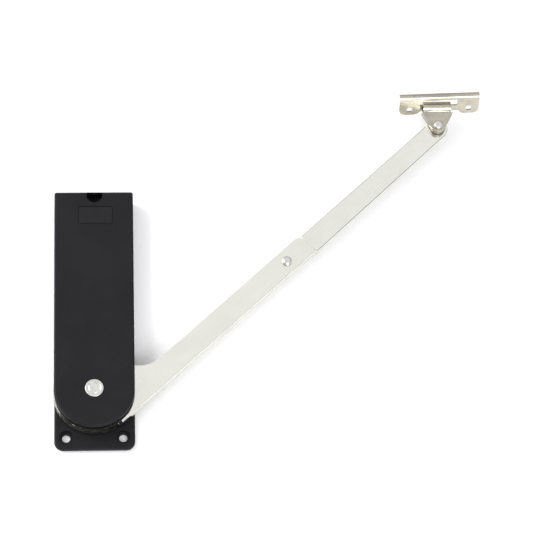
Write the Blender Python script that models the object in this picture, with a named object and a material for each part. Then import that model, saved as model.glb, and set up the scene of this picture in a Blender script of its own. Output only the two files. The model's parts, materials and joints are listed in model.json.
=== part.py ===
"""Door closer with a folding scissor arm: a U-bent housing, a cam-and-spring closing
movement with an oil damper inside it, a two-part arm, and a slotted bracket on a strap.

Axes: +Z up from the mounting face, +Y towards the housing's bent end, +X to the arm's side.
The origin is the centre of the housing's mounting face.
"""

import math

import bmesh
import bpy
from mathutils import Matrix, Vector

MM = 0.001
GAP = 0.3
TRIM = 0.03  # keeps a cutter's round edge off the flat face that it runs out into

# Driving sizes, in millimetres.
HOUSING_WIDTH = 49.0
HOUSING_HEIGHT = 18.0
BASE_THICKNESS = 4.0
COVER_THICKNESS = 3.5
END_WALL = 3.5
BEND_RADIUS = 3.6
PIVOT_TO_BEND = 131.2
PIVOT_TO_BASE_END = 34.5
BASE_CORNER_RADIUS = 5.3
COVER_END_RADIUS = HOUSING_WIDTH / 2

MOUNT_HOLE_X = 17.3
MOUNT_HOLE_Y = -26.8
MOUNT_HOLE_RADIUS = 2.6
MOUNT_SINK_RADIUS = 4.3
MOUNT_SINK_DEPTH = 1.9
ACCESS_HOLE_RADIUS = 5.0
ACCESS_HOLE_CENTRE = (0.4, 128.2)
ACCESS_HOLE_INSET = 0.8
ACCESS_HOLE_DEPTH = 9.0

LABEL_SIZE = (21.2, 11.6)
LABEL_CENTRE = (1.1, 114.5)
LABEL_DEPTH = 0.6

RIVET_HEAD_RADIUS = 5.65
RIVET_PIN_RADIUS = 3.4
RIVET_SHANK_RADIUS = 4.0
RIVET_SINK_RADIUS = 5.95
RIVET_SINK_DEPTH = 1.2
BUSH_WALL = 1.4

ARM_ANGLE = 42.6
ARM_REST_Z = (5.5, 12.5)
ARM_SHEET = 1.2
ARM_OUTER = 26.2
ARM_WIDTH = 14.6
ARM_LENGTH = 163.5
ROOT_RADIUS = 25.2
ROOT_FILLET_START = 44.0
FOLD_START = -2.0
ELBOW_ALONG = 145.4

CAM_START = 15.0
CAM_LIFT = 10.0
CAM_SWEEP = 150.0
ROLLER_RADIUS = 4.0
CAM_RIVET_RING = 11.0
CAM_RIVET_TURNS = (35.0, 85.0, 135.0)
CAM_RIVET_RADIUS = 1.5

LINK_ANGLE = 42.85
LINK_LENGTH = 135.8
LINK_SIDES = ((7.0, -8.0), (6.85, -6.95))
LINK_SHEET = 1.3
LINK_Z = (7.0, 10.9)
LINK_SHOULDER = 18.7
TONGUE_WIDTH = 10.0
ELBOW_SHANK = 2.0
ELBOW_HEAD = 3.0

STRAP_ANGLE = 90.6
STRAP_SHEET = 1.5
STRAP_SEAM = 0.5
STRAP_EAR_RADIUS = 4.5
STRAP_EAR_WIDTH = 20.4
STRAP_LOOP_WIDTH = 17.6
STRAP_REACH = 13.4
STRAP_LOOP_RADIUS = 3.3
STRAP_Z = 13.65

BRACKET_SHIFT = 1.6
BRACKET_LENGTH = 51.4
BRACKET_SHEET = 1.4
BRACKET_SLOPE = 70.0
BRACKET_WEB = 4.2
BRACKET_SLOT = (23.2, 4.9)
BRACKET_RIDGE = 9.9
BRACKET_LOBE = 4.3
BRACKET_LOBE_INNER = 16.6
BRACKET_HOLE_SPACING = 38.2
BRACKET_HOLE_RADIUS = 2.0
BRACKET_HOLE_DROP = 0.5
BRACKET_TURN = 2.0
BRACKET_LIP = 3.6
BRACKET_BEND = 0.6

SPRING_X = 13.0
SPRING_TURNS = 13
SPRING_WIRE = 0.65
SPRING_RADIUS = 3.75
ROD_RADIUS = 2.0
CROSSHEAD_Y = (27.0, 33.0)
SEAT_Y = (108.0, 112.0)
DAMPER_Y = (52.0, 107.0)
DAMPER_RADIUS = 4.8
DAMPER_BORE = 3.6

PIVOT_Y = -47.75
INNER_MID_Z = (BASE_THICKNESS + HOUSING_HEIGHT - COVER_THICKNESS) / 2
INNER_TOP = HOUSING_HEIGHT - COVER_THICKNESS
SIDES = 32


def clear_scene():
    for old in list(bpy.data.objects):
        bpy.data.objects.remove(old, do_unlink=True)


def material(name, colour, roughness, metallic):
    made = bpy.data.materials.new(name)
    made.use_nodes = True
    shader = made.node_tree.nodes["Principled BSDF"]
    shader.inputs["Base Color"].default_value = (*colour, 1.0)
    shader.inputs["Roughness"].default_value = roughness
    shader.inputs["Metallic"].default_value = metallic
    return made


def to_object(name, bm, smooth_angle=35.0):
    """Puts a bmesh, whose points are millimetres from the pivot, into an object in metres."""
    for vert in bm.verts:
        vert.co = (vert.co + Vector((0.0, PIVOT_Y, 0.0))) * MM
    bmesh.ops.recalc_face_normals(bm, faces=bm.faces)
    mesh = bpy.data.meshes.new(name)
    bm.to_mesh(mesh)
    bm.free()
    mesh.shade_smooth()
    mesh.set_sharp_from_angle(angle=math.radians(smooth_angle))
    made = bpy.data.objects.new(name, mesh)
    bpy.context.scene.collection.objects.link(made)
    return made


def finish(made, finish_material):
    made.data.materials.append(finish_material)
    return made


def set_origin(made, x, y, z=0.0):
    """Moves an object's origin to a joint's axis, given from the pivot, and leaves its shape in place."""
    place = Vector((x, y + PIVOT_Y, z)) * MM
    made.data.transform(Matrix.Translation(-place))
    made.location = place
    return made


def add_prism(bm, outline, low, high):
    """Adds an upright prism on a plan outline."""
    face = bm.faces.new([bm.verts.new((x, y, low)) for x, y in outline])
    grown = bmesh.ops.extrude_face_region(bm, geom=[face])
    raised = [part for part in grown["geom"] if isinstance(part, bmesh.types.BMVert)]
    bmesh.ops.translate(bm, verts=raised, vec=(0.0, 0.0, high - low))
    return raised


def prism(name, outline, low, high):
    bm = bmesh.new()
    add_prism(bm, outline, low, high)
    return to_object(name, bm)


def arc(centre, radius, start, end, steps):
    """Points on an arc from the start to the end angle, in degrees, both included."""
    points = []
    for step in range(steps + 1):
        turn = math.radians(start + (end - start) * step / steps)
        points.append((centre[0] + radius * math.cos(turn), centre[1] + radius * math.sin(turn)))
    return points


def circle(centre, radius, sides=SIDES):
    return arc(centre, radius, 0.0, 360.0 * (sides - 1) / sides, sides - 1)


def rounded_rectangle(left, bottom, right, top, radius, steps=5):
    corners = (
        ((right - radius, top - radius), 0.0),
        ((left + radius, top - radius), 90.0),
        ((left + radius, bottom + radius), 180.0),
        ((right - radius, bottom + radius), 270.0),
    )
    outline = []
    for centre, start in corners:
        outline.extend(arc(centre, radius, start, start + 90.0, steps))
    return outline


def add_turned(bm, centre, profile, direction=(0.0, 0.0, 1.0), sides=SIDES):
    """Adds a solid turned from (radius, height) points listed up its outside, open or closed at the axis."""
    turn = Vector((0.0, 0.0, 1.0)).rotation_difference(Vector(direction)).to_matrix()
    rings = []
    for radius, height in profile:
        if radius == 0.0:
            rings.append([bm.verts.new(Vector(centre) + turn @ Vector((0.0, 0.0, height)))])
            continue
        points = circle((0.0, 0.0), radius, sides)
        rings.append([bm.verts.new(Vector(centre) + turn @ Vector((x, y, height))) for x, y in points])
    closed = profile[0][0] != 0.0
    count = len(rings)
    for index in range(count if closed else count - 1):
        lower, upper = rings[index], rings[(index + 1) % count]
        for side in range(sides):
            after = (side + 1) % sides
            quad = [lower[side % len(lower)], lower[after % len(lower)]]
            quad += [upper[after % len(upper)], upper[side % len(upper)]]
            bm.faces.new(list(dict.fromkeys(quad)))


def turned(name, centre, profile, direction=(0.0, 0.0, 1.0), sides=SIDES):
    bm = bmesh.new()
    add_turned(bm, centre, profile, direction, sides)
    return to_object(name, bm)


def tube_profile(inner, outer, low, high):
    return [(outer, low), (outer, high), (inner, high), (inner, low)]


def rod_profile(radius, low, high):
    return [(0.0, low), (radius, low), (radius, high), (0.0, high)]


def boolean(target, tool, operation="DIFFERENCE"):
    modifier = target.modifiers.new(tool.name, "BOOLEAN")
    modifier.operation = operation
    modifier.solver = "EXACT"
    modifier.object = tool
    tool.hide_render = True
    tool.display_type = "WIRE"
    return target


def drill(target, x, y, radius, low, high, sides=32):
    tool = turned("cutter_" + target.name, (x, y, 0.0), rod_profile(radius, low, high), sides=sides)
    return boolean(target, tool)


def step_drill(target, x, y, steps, top, sides=32):
    """Drills one hole of several radii, given as (radius, the height where it starts) from the bottom up."""
    profile = [(0.0, steps[0][1])]
    ends = [start for _, start in steps[1:]] + [top]
    for (radius, start), end in zip(steps, ends):
        profile += [(radius, start), (radius, end)]
    profile.append((0.0, top))
    return boolean(target, turned("cutter_" + target.name, (x, y, 0.0), profile, sides=sides))


def on_arm(along, across):
    """A plan point given along the main arm's direction and across it, clockwise side positive."""
    turn = math.radians(ARM_ANGLE)
    x = along * math.cos(turn) + across * math.sin(turn)
    y = along * math.sin(turn) - across * math.cos(turn)
    return x, y


def from_elbow(along, across):
    """A plan point along the link arm from the elbow, left side positive."""
    elbow_x, elbow_y = on_arm(ELBOW_ALONG, ARM_OUTER - ARM_WIDTH / 2)
    turn = math.radians(LINK_ANGLE)
    x = elbow_x + along * math.cos(turn) - across * math.sin(turn)
    y = elbow_y + along * math.sin(turn) + across * math.cos(turn)
    return x, y


def from_ear(along, across):
    """A plan point along the strap from the link rivet, left side positive."""
    ear_x, ear_y = from_elbow(LINK_LENGTH, 0.0)
    turn = math.radians(STRAP_ANGLE)
    x = ear_x + along * math.cos(turn) - across * math.sin(turn)
    y = ear_y + along * math.sin(turn) + across * math.cos(turn)
    return x, y


# Housing


def housing_profile():
    """The bent plate seen from the side: base, bent end wall and cover, as (y, z) points."""
    bend = PIVOT_TO_BEND - BEND_RADIUS
    inner_radius = 1.0
    inner_y = PIVOT_TO_BEND - END_WALL
    outline = [(-PIVOT_TO_BASE_END, 0.0)]
    outline += arc((bend, BEND_RADIUS), BEND_RADIUS, -90.0, 0.0, 6)
    outline += arc((bend, HOUSING_HEIGHT - BEND_RADIUS), BEND_RADIUS, 0.0, 90.0, 6)
    outline += [(-COVER_END_RADIUS, HOUSING_HEIGHT), (-COVER_END_RADIUS, INNER_TOP)]
    outline += arc((inner_y - inner_radius, INNER_TOP - inner_radius), inner_radius, 90.0, 0.0, 3)
    outline += arc((inner_y - inner_radius, BASE_THICKNESS + inner_radius), inner_radius, 0.0, -90.0, 3)
    outline += [(-PIVOT_TO_BASE_END, BASE_THICKNESS)]
    return outline


def cover_end_cutter():
    """Takes away what lies outside the cover's half-round end."""
    outer = COVER_END_RADIUS + 3.0
    outline = [(-outer, -outer), (outer, -outer), (outer, 0.0)]
    outline += arc((0.0, 0.0), COVER_END_RADIUS - TRIM, 0.0, -180.0, 36)
    outline += [(-outer, 0.0)]
    return prism("cutter_cover_end", outline, INNER_TOP - 2.0, HOUSING_HEIGHT + 2.0)


def base_corner_cutter(side):
    """Takes away what lies outside one rounded corner of the base."""
    half = HOUSING_WIDTH / 2
    radius = BASE_CORNER_RADIUS
    centre = (side * (half - radius), -PIVOT_TO_BASE_END + radius)
    start = 0.0 if side > 0 else 180.0
    outline = arc(centre, radius - TRIM, start, -90.0 if side > 0 else 270.0, 8)
    outline.append((side * (half - radius), -PIVOT_TO_BASE_END - 2.0))
    outline.append((side * (half + 2.0), -PIVOT_TO_BASE_END - 2.0))
    outline.append((side * (half + 2.0), -PIVOT_TO_BASE_END + radius))
    return prism("cutter_base_corner", outline, -1.0, BASE_THICKNESS + 1.0)


def access_outline():
    """The access hole in the bend: round, with its far side cut straight so that the bend stays whole."""
    rise = PIVOT_TO_BEND - ACCESS_HOLE_INSET - ACCESS_HOLE_CENTRE[1]
    cut = math.degrees(math.asin(rise / ACCESS_HOLE_RADIUS))
    return arc(ACCESS_HOLE_CENTRE, ACCESS_HOLE_RADIUS, 180.0 - cut, 360.0 + cut, 28)


def housing():
    bm = bmesh.new()
    half = HOUSING_WIDTH / 2
    face = bm.faces.new([bm.verts.new((-half, y, z)) for y, z in housing_profile()])
    grown = bmesh.ops.extrude_face_region(bm, geom=[face])
    moved = [part for part in grown["geom"] if isinstance(part, bmesh.types.BMVert)]
    bmesh.ops.translate(bm, verts=moved, vec=(HOUSING_WIDTH, 0.0, 0.0))
    made = to_object("housing", bm)
    boolean(made, cover_end_cutter())
    for side in (-1, 1):
        boolean(made, base_corner_cutter(side))
        x = side * MOUNT_HOLE_X
        sink = [(MOUNT_HOLE_RADIUS, -1.0), (MOUNT_SINK_RADIUS, BASE_THICKNESS - MOUNT_SINK_DEPTH)]
        step_drill(made, x, MOUNT_HOLE_Y, sink, BASE_THICKNESS + 1.0)
    boolean(made, prism("cutter_access", access_outline(), ACCESS_HOLE_DEPTH, HOUSING_HEIGHT + 1.0))
    shank = (RIVET_SHANK_RADIUS + GAP, RIVET_SINK_DEPTH)
    sinks = [(RIVET_SINK_RADIUS, -1.0), shank, (RIVET_SINK_RADIUS, HOUSING_HEIGHT - RIVET_SINK_DEPTH)]
    step_drill(made, 0.0, 0.0, sinks, HOUSING_HEIGHT + 1.0)
    width, depth = LABEL_SIZE
    x, y = LABEL_CENTRE
    recess = rounded_rectangle(x - width / 2, y - depth / 2, x + width / 2, y + depth / 2, 1.0, 3)
    boolean(made, prism("cutter_label", recess, HOUSING_HEIGHT - LABEL_DEPTH, HOUSING_HEIGHT + 1.0))
    return finish(made, material("black enamelled steel", (0.028, 0.028, 0.031), 0.5, 0.0))


def name_plate():
    width, depth = LABEL_SIZE
    x, y = LABEL_CENTRE
    edge = GAP
    left, right = x - width / 2 + edge, x + width / 2 - edge
    low, high = y - depth / 2 + edge, y + depth / 2 - edge
    outline = rounded_rectangle(left, low, right, high, 0.8, 3)
    made = prism("name_plate", outline, HOUSING_HEIGHT - LABEL_DEPTH + GAP, HOUSING_HEIGHT - 0.05)
    return finish(made, material("black printed plate", (0.035, 0.035, 0.038), 0.45, 0.0))


def pivot_rivet():
    head_low = HOUSING_HEIGHT - RIVET_SINK_DEPTH + GAP
    foot_high = RIVET_SINK_DEPTH - GAP
    profile = [
        (0.0, 0.05),
        (RIVET_HEAD_RADIUS, 0.05),
        (RIVET_HEAD_RADIUS, foot_high),
        (RIVET_SHANK_RADIUS, foot_high),
        (RIVET_SHANK_RADIUS, head_low),
        (RIVET_HEAD_RADIUS, head_low),
        (RIVET_HEAD_RADIUS, HOUSING_HEIGHT - 0.25),
        (RIVET_HEAD_RADIUS - 0.35, HOUSING_HEIGHT),
        (RIVET_PIN_RADIUS + 0.8, HOUSING_HEIGHT),
        (RIVET_PIN_RADIUS + 0.3, HOUSING_HEIGHT - 0.6),
        (RIVET_PIN_RADIUS, HOUSING_HEIGHT - 0.6),
        (RIVET_PIN_RADIUS - 0.2, HOUSING_HEIGHT - 0.1),
        (0.0, HOUSING_HEIGHT),
    ]
    made = turned("pivot_rivet", (0.0, 0.0, 0.0), profile)
    return finish(made, material("nickel rivet", (0.62, 0.61, 0.59), 0.3, 1.0))


def ring(name, x, y, inner, outer, low, high, finish_material):
    made = turned(name, (x, y, 0.0), tube_profile(inner, outer, low, high))
    return finish(made, finish_material)


def pivot_stack():
    bore = RIVET_SHANK_RADIUS + GAP
    outer = bore + BUSH_WALL
    bronze = material("sintered bronze", (0.45, 0.28, 0.12), 0.45, 1.0)
    ring("pivot_bush", 0.0, 0.0, bore, outer, ARM_REST_Z[0], ARM_REST_Z[1], bronze)
    steel = material("washer steel", (0.5, 0.5, 0.5), 0.35, 1.0)
    ring("pivot_washer_lower", 0.0, 0.0, bore, 10.0, BASE_THICKNESS + GAP, ARM_REST_Z[0] - GAP, steel)
    ring("pivot_washer_upper", 0.0, 0.0, bore, 10.0, ARM_REST_Z[1] + GAP, INNER_TOP - GAP, steel)
    return outer + GAP


# Main arm


def arm_outline():
    """Root disc, concave fillet and strip, in plan."""
    inner = ARM_OUTER - ARM_WIDTH
    start = ROOT_FILLET_START
    fillet = (start**2 + inner**2 - ROOT_RADIUS**2) / (2.0 * (ROOT_RADIUS + inner))
    fillet_centre = (start, inner - fillet)
    meets = math.degrees(math.atan2(fillet_centre[1], fillet_centre[0]))
    end_round = 5.0
    local = [(FOLD_START, ARM_OUTER), (ARM_LENGTH, ARM_OUTER)]
    local += arc((ARM_LENGTH - end_round, inner + end_round), end_round, 0.0, -90.0, 6)
    local += arc(fillet_centre, fillet, 90.0, 180.0 + meets, 10)
    leaves = math.degrees(math.atan2(ROOT_RADIUS, FOLD_START))
    local += arc((0.0, 0.0), ROOT_RADIUS, meets - 4.0, leaves - 360.0, 52)
    return [on_arm(along, across) for along, across in local]


def main_arm(bush_outer):
    made = prism("main_arm", arm_outline(), *ARM_REST_Z)
    far = ARM_LENGTH + 10.0
    near = -ROOT_RADIUS - 5.0
    web_face = ARM_OUTER - ARM_SHEET
    corners = [(near, near), (far, near), (far, web_face), (near, web_face)]
    pocket = [on_arm(*corner) for corner in corners]
    low, high = ARM_REST_Z[0] + ARM_SHEET, ARM_REST_Z[1] - ARM_SHEET
    boolean(made, prism("cutter_arm_pocket", pocket, low, high))
    drill(made, 0.0, 0.0, bush_outer, 0.0, HOUSING_HEIGHT)
    elbow = from_elbow(0.0, 0.0)
    drill(made, *elbow, ELBOW_SHANK + GAP, 0.0, HOUSING_HEIGHT, 20)
    for x, y in cam_rivet_places():
        drill(made, x, y, CAM_RIVET_RADIUS + GAP, 0.0, HOUSING_HEIGHT, 16)
    return finish(made, material("nickel-plated arm steel", (0.68, 0.67, 0.64), 0.28, 1.0))


def cam_rivet_places():
    return [circle_point(CAM_RIVET_RING, 90.0 + turn) for turn in CAM_RIVET_TURNS]


def circle_point(radius, angle):
    return radius * math.cos(math.radians(angle)), radius * math.sin(math.radians(angle))


def cam_outline():
    """The working flank lifts the roller in proportion to the turn; the rest runs back to its low end."""
    reach = ROLLER_RADIUS + GAP
    slope = CAM_LIFT / math.radians(CAM_SWEEP)
    flank = []
    overrun = 8
    step = 4.0
    for index in range(int((CAM_SWEEP + overrun) / step) + 1):
        turn = index * step
        radius = CAM_START + CAM_LIFT * turn / CAM_SWEEP
        angle = math.radians(90.0 + turn)
        away = Vector((math.cos(angle), math.sin(angle)))
        along = Vector((-math.sin(angle), math.cos(angle)))
        normal = (away * radius - along * slope).normalized()
        point = away * radius - normal * reach
        flank.append((point.x, point.y))
    high_x, high_y = flank[-1]
    high = math.hypot(high_x, high_y)
    high_angle = math.degrees(math.atan2(high_y, high_x)) % 360.0
    low, low_angle = 13.2, 360.0 + 72.0
    steps = 34
    back = []
    for index in range(1, steps + 1):
        share = index / steps
        radius = high + (low - high) * (1.0 - math.cos(math.pi * share)) / 2.0
        back.append(circle_point(radius, high_angle + (low_angle - high_angle) * share))
    seat = arc((0.0, CAM_START), reach, -35.0, -75.0, 4)
    return flank + back + seat


def cam(bush_outer):
    low, high = ARM_REST_Z[0] + ARM_SHEET + GAP, ARM_REST_Z[1] - ARM_SHEET - GAP
    made = prism("cam", cam_outline(), low, high)
    drill(made, 0.0, 0.0, bush_outer, 0.0, HOUSING_HEIGHT)
    for x, y in cam_rivet_places():
        drill(made, x, y, CAM_RIVET_RADIUS + GAP, 0.0, HOUSING_HEIGHT, 16)
    return finish(made, material("hardened cam steel", (0.42, 0.41, 0.4), 0.35, 1.0))


def cam_rivets():
    steel = material("cam rivet steel", (0.55, 0.54, 0.52), 0.35, 1.0)
    profile = rod_profile(CAM_RIVET_RADIUS, ARM_REST_Z[0] + 0.05, ARM_REST_Z[1] - 0.05)
    for number, (x, y) in enumerate(cam_rivet_places(), 1):
        finish(turned(f"cam_rivet_{number}", (x, y, 0.0), profile, sides=16), steel)


# Closing movement


def cam_roller():
    low, high = ARM_REST_Z[0] + ARM_SHEET + GAP, ARM_REST_Z[1] - ARM_SHEET - GAP
    profile = rod_profile(ROLLER_RADIUS, low, high)
    made = turned("cam_roller", (0.0, CAM_START, 0.0), profile, sides=32)
    set_origin(made, 0.0, CAM_START)
    return finish(made, material("ground roller steel", (0.5, 0.5, 0.51), 0.18, 1.0))


def spring_slider():
    half = HOUSING_WIDTH / 2 - 4.5
    low, high = BASE_THICKNESS + 0.4, INNER_TOP - 0.4
    front, back = CROSSHEAD_Y
    made = prism("spring_slider", rounded_rectangle(-half, front, half, back, 1.5, 3), low, high)
    tongue_low = ARM_REST_Z[0] + ARM_SHEET + GAP
    tongue_high = ARM_REST_Z[1] - ARM_SHEET - GAP
    tip = CAM_START - 1.8
    tongue = rounded_rectangle(-6.5, tip, 6.5, front + 2.0, 0.8, 2)
    boolean(made, prism("cutter_tongue", tongue, tongue_low, tongue_high), "UNION")
    drill(made, 0.0, CAM_START, ROLLER_RADIUS + GAP, 0.0, HOUSING_HEIGHT)
    for side in (-1, 1):
        bore_along(made, side * SPRING_X, ROD_RADIUS + GAP, front - 1.0, back + 1.0)
    bore_along(made, 0.0, ROD_RADIUS + GAP, front + 2.0, back + 1.0)
    return finish(made, material("slider steel", (0.36, 0.36, 0.37), 0.42, 1.0))


def bore_along(target, x, radius, front, back):
    """Drills along the housing's length."""
    profile = rod_profile(radius, 0.0, back - front)
    tool = turned("cutter_" + target.name, (x, front, INNER_MID_Z), profile, (0.0, 1.0, 0.0), 24)
    return boolean(target, tool)


def along_housing(name, x, front, profile, finish_material, sides=28):
    made = turned(name, (x, front, INNER_MID_Z), profile, (0.0, 1.0, 0.0), sides)
    return finish(made, finish_material)


def guide_rods():
    steel = material("drawn rod steel", (0.55, 0.55, 0.56), 0.25, 1.0)
    front = ROOT_RADIUS + 1.2
    profile = rod_profile(ROD_RADIUS, 0.0, SEAT_Y[1] + 4.0 - front)
    for name, side in (("guide_rod_left", -1), ("guide_rod_right", 1)):
        along_housing(name, side * SPRING_X, front, profile, steel, 20)


def spring_seat():
    half = HOUSING_WIDTH / 2 - 3.5
    low, high = BASE_THICKNESS + GAP, INNER_TOP - GAP
    outline = rounded_rectangle(-half, SEAT_Y[0], half, SEAT_Y[1], 1.0, 3)
    made = prism("spring_seat", outline, low, high)
    for side in (-1, 1):
        bore_along(made, side * SPRING_X, ROD_RADIUS + GAP, SEAT_Y[0] - 1.0, SEAT_Y[1] + 1.0)
    bore_along(made, 0.0, ROD_RADIUS + 2 * GAP, SEAT_Y[0] - 1.0, SEAT_Y[1] + 1.0)
    return finish(made, material("seat steel", (0.36, 0.36, 0.37), 0.42, 1.0))


def closing_spring(name, side):
    """A coiled wire round a guide rod, between the slider and the seat."""
    front, back = CROSSHEAD_Y[1] + GAP + SPRING_WIRE, SEAT_Y[0] - GAP - SPRING_WIRE
    per_turn = 10
    ring_sides = 6
    count = SPRING_TURNS * per_turn
    bm = bmesh.new()
    rings = []
    for index in range(count + 1):
        turn = 2.0 * math.pi * index / per_turn * side
        out = Vector((math.cos(turn), 0.0, math.sin(turn)))
        centre = Vector((side * SPRING_X, front + (back - front) * index / count, INNER_MID_Z))
        centre += out * SPRING_RADIUS
        loop = []
        for corner in range(ring_sides):
            swing = 2.0 * math.pi * corner / ring_sides
            offset = out * math.cos(swing) + Vector((0.0, 1.0, 0.0)) * math.sin(swing)
            loop.append(bm.verts.new(centre + offset * SPRING_WIRE))
        rings.append(loop)
    for lower, upper in zip(rings, rings[1:]):
        for corner in range(ring_sides):
            after = (corner + 1) % ring_sides
            bm.faces.new([lower[corner], lower[after], upper[after], upper[corner]])
    bm.faces.new(rings[0])
    bm.faces.new(rings[-1])
    return finish(to_object(name, bm), material(name + " steel", (0.2, 0.2, 0.21), 0.35, 1.0))


def damper():
    front, back = DAMPER_Y
    barrel = [
        (0.0, back - front - 6.0),
        (DAMPER_BORE, back - front - 6.0),
        (DAMPER_BORE, 0.0),
        (DAMPER_RADIUS, 0.0),
        (DAMPER_RADIUS, back - front),
        (0.0, back - front),
    ]
    zinc = material("damper barrel steel", (0.6, 0.6, 0.58), 0.3, 1.0)
    along_housing("damper_cylinder", 0.0, front, barrel, zinc)
    cap_length = 5.0
    cap = tube_profile(ROD_RADIUS + GAP, DAMPER_RADIUS, 0.0, cap_length)
    brass = material("damper cap brass", (0.6, 0.45, 0.2), 0.35, 1.0)
    along_housing("damper_end_cap", 0.0, front - GAP - cap_length, cap, brass)
    rod_front = CROSSHEAD_Y[1] - 3.5
    piston_at = 72.0 - rod_front
    rod = [
        (0.0, 0.0),
        (ROD_RADIUS, 0.0),
        (ROD_RADIUS, piston_at),
        (DAMPER_BORE - GAP, piston_at),
        (DAMPER_BORE - GAP, piston_at + 6.0),
        (0.0, piston_at + 6.0),
    ]
    along_housing("damper_rod", 0.0, rod_front, rod, material("hard chromed rod", (0.6, 0.6, 0.62), 0.1, 1.0))
    screw_front = back + GAP
    head_at = SEAT_Y[1] + 3.0 - screw_front
    screw = [
        (0.0, 0.0),
        (ROD_RADIUS, 0.0),
        (ROD_RADIUS, head_at),
        (3.4, head_at),
        (3.4, head_at + 5.0),
        (0.0, head_at + 5.0),
    ]
    made = along_housing("damper_adjuster", 0.0, screw_front, screw, material("screw brass", (0.6, 0.45, 0.2), 0.3, 1.0))
    slot_y = screw_front + head_at + 3.6
    slot = prism("cutter_adjuster_slot", rounded_rectangle(-6.0, slot_y, 6.0, slot_y + 4.0, 0.2, 1), 8.75, 9.75)
    boolean(made, slot)


# Link arm, strap and bracket


def link_outline(inset=0.0):
    """The channel's plan, drawn in from its sides by the inset: square at the shoulder, round at the far end."""
    (near_left, near_right), (far_left, far_right) = LINK_SIDES
    far_radius = (far_left - far_right) / 2
    middle = (far_left + far_right) / 2
    local = [(LINK_SHOULDER, near_right + inset)]
    local += arc((LINK_LENGTH, middle), far_radius - inset, -90.0, 90.0, 16)
    local += [(LINK_SHOULDER, near_left - inset)]
    return [from_elbow(*point) for point in local]


def link_arm():
    low, high = LINK_Z
    made = prism("link_arm", link_outline(), low, high)
    pocket = link_outline(LINK_SHEET)
    pocket += [from_elbow(LINK_SHOULDER - 5.0, LINK_SIDES[0][0] - LINK_SHEET)]
    pocket += [from_elbow(LINK_SHOULDER - 5.0, LINK_SIDES[0][1] + LINK_SHEET)]
    boolean(made, prism("cutter_link_pocket", pocket, low - 1.0, high - LINK_SHEET))
    tongue_half = TONGUE_WIDTH / 2
    tongue = arc((0.0, 0.0), tongue_half, 90.0, 270.0, 12)
    tongue += [(LINK_SHOULDER + 4.0, -tongue_half), (LINK_SHOULDER + 4.0, tongue_half)]
    tongue = [from_elbow(*point) for point in tongue]
    boolean(made, prism("cutter_link_tongue", tongue, high - LINK_SHEET, high), "UNION")
    drill(made, *from_elbow(0.0, 0.0), ELBOW_SHANK + GAP, 0.0, HOUSING_HEIGHT, 20)
    drill(made, *from_elbow(LINK_LENGTH, 0.0), ELBOW_SHANK + GAP, 0.0, HOUSING_HEIGHT, 20)
    set_origin(made, *from_elbow(0.0, 0.0))
    return finish(made, material("nickel-plated link steel", (0.68, 0.67, 0.64), 0.28, 1.0))


def rivet(name, place, foot, seat_low, seat_high, head_radius, head_height, finish_material):
    """A rivet with a flat foot below the stack and a domed head above it."""
    dome = []
    for step in range(5):
        turn = math.radians(90.0 * step / 4)
        dome.append((head_radius * math.cos(turn), seat_high + 0.6 + (head_height - 0.6) * math.sin(turn)))
    dome[-1] = (0.0, seat_high + head_height)
    profile = [(0.0, foot), (head_radius, foot), (head_radius, seat_low), (ELBOW_SHANK, seat_low)]
    profile += [(ELBOW_SHANK, seat_high), (head_radius, seat_high)]
    made = turned(name, (*place, 0.0), profile + dome, sides=28)
    return finish(made, finish_material)


def arm_rivets():
    nickel = material("nickel-plated rivet", (0.66, 0.65, 0.62), 0.25, 1.0)
    low, high = ARM_REST_Z
    rivet("elbow_rivet", from_elbow(0.0, 0.0), low - GAP - 1.2, low - GAP, high + GAP, ELBOW_HEAD, 1.9, nickel)
    steel = material("spacer steel", (0.5, 0.5, 0.5), 0.35, 1.0)
    under_tongue = LINK_Z[1] - LINK_SHEET - GAP
    spacer_low = low + ARM_SHEET + GAP
    x, y = from_elbow(0.0, 0.0)
    ring("elbow_washer", x, y, ELBOW_SHANK + GAP, 4.6, spacer_low, under_tongue, steel)
    place = from_elbow(LINK_LENGTH, 0.0)
    seat_low = LINK_Z[1] - LINK_SHEET - GAP
    layers_top = STRAP_Z + STRAP_SEAM / 2 + STRAP_SHEET
    rivet("link_rivet", place, seat_low - 1.2, seat_low, layers_top + GAP, 2.9, 1.6, nickel)
    layers_low = STRAP_Z - STRAP_SEAM / 2 - STRAP_SHEET
    ring("link_washer", *place, ELBOW_SHANK + GAP, 4.8, LINK_Z[1] + GAP, layers_low - GAP, steel)


def strap_section():
    """The folded strap seen from its side: two layers, flaring into a loop, as (along, height) points."""
    layer = (STRAP_SEAM + STRAP_SHEET) / 2
    flare = 2.0
    reach = STRAP_LOOP_RADIUS + flare
    flare_at = STRAP_REACH - math.sqrt(reach**2 - (layer + flare) ** 2)
    open_angle = math.degrees(math.atan2(layer + flare, STRAP_REACH - flare_at))
    half = STRAP_SHEET / 2
    outer = [(-STRAP_EAR_RADIUS, -layer - half)]
    outer += arc((flare_at, -layer - flare), flare - half, 90.0, open_angle, 4)
    outer += arc((STRAP_REACH, 0.0), STRAP_LOOP_RADIUS + half, -180.0 + open_angle, 180.0 - open_angle, 24)
    outer += arc((flare_at, layer + flare), flare - half, -open_angle, -90.0, 4)
    outer += [(-STRAP_EAR_RADIUS, layer + half)]
    inner = [(-STRAP_EAR_RADIUS, layer - half)]
    inner += arc((flare_at, layer + flare), flare + half, -90.0, -open_angle, 4)
    inner += arc((STRAP_REACH, 0.0), STRAP_LOOP_RADIUS - half, 180.0 - open_angle, -180.0 + open_angle, 24)
    inner += arc((flare_at, -layer - flare), flare + half, open_angle, 90.0, 4)
    inner += [(-STRAP_EAR_RADIUS, -layer + half)]
    return outer + inner


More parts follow.
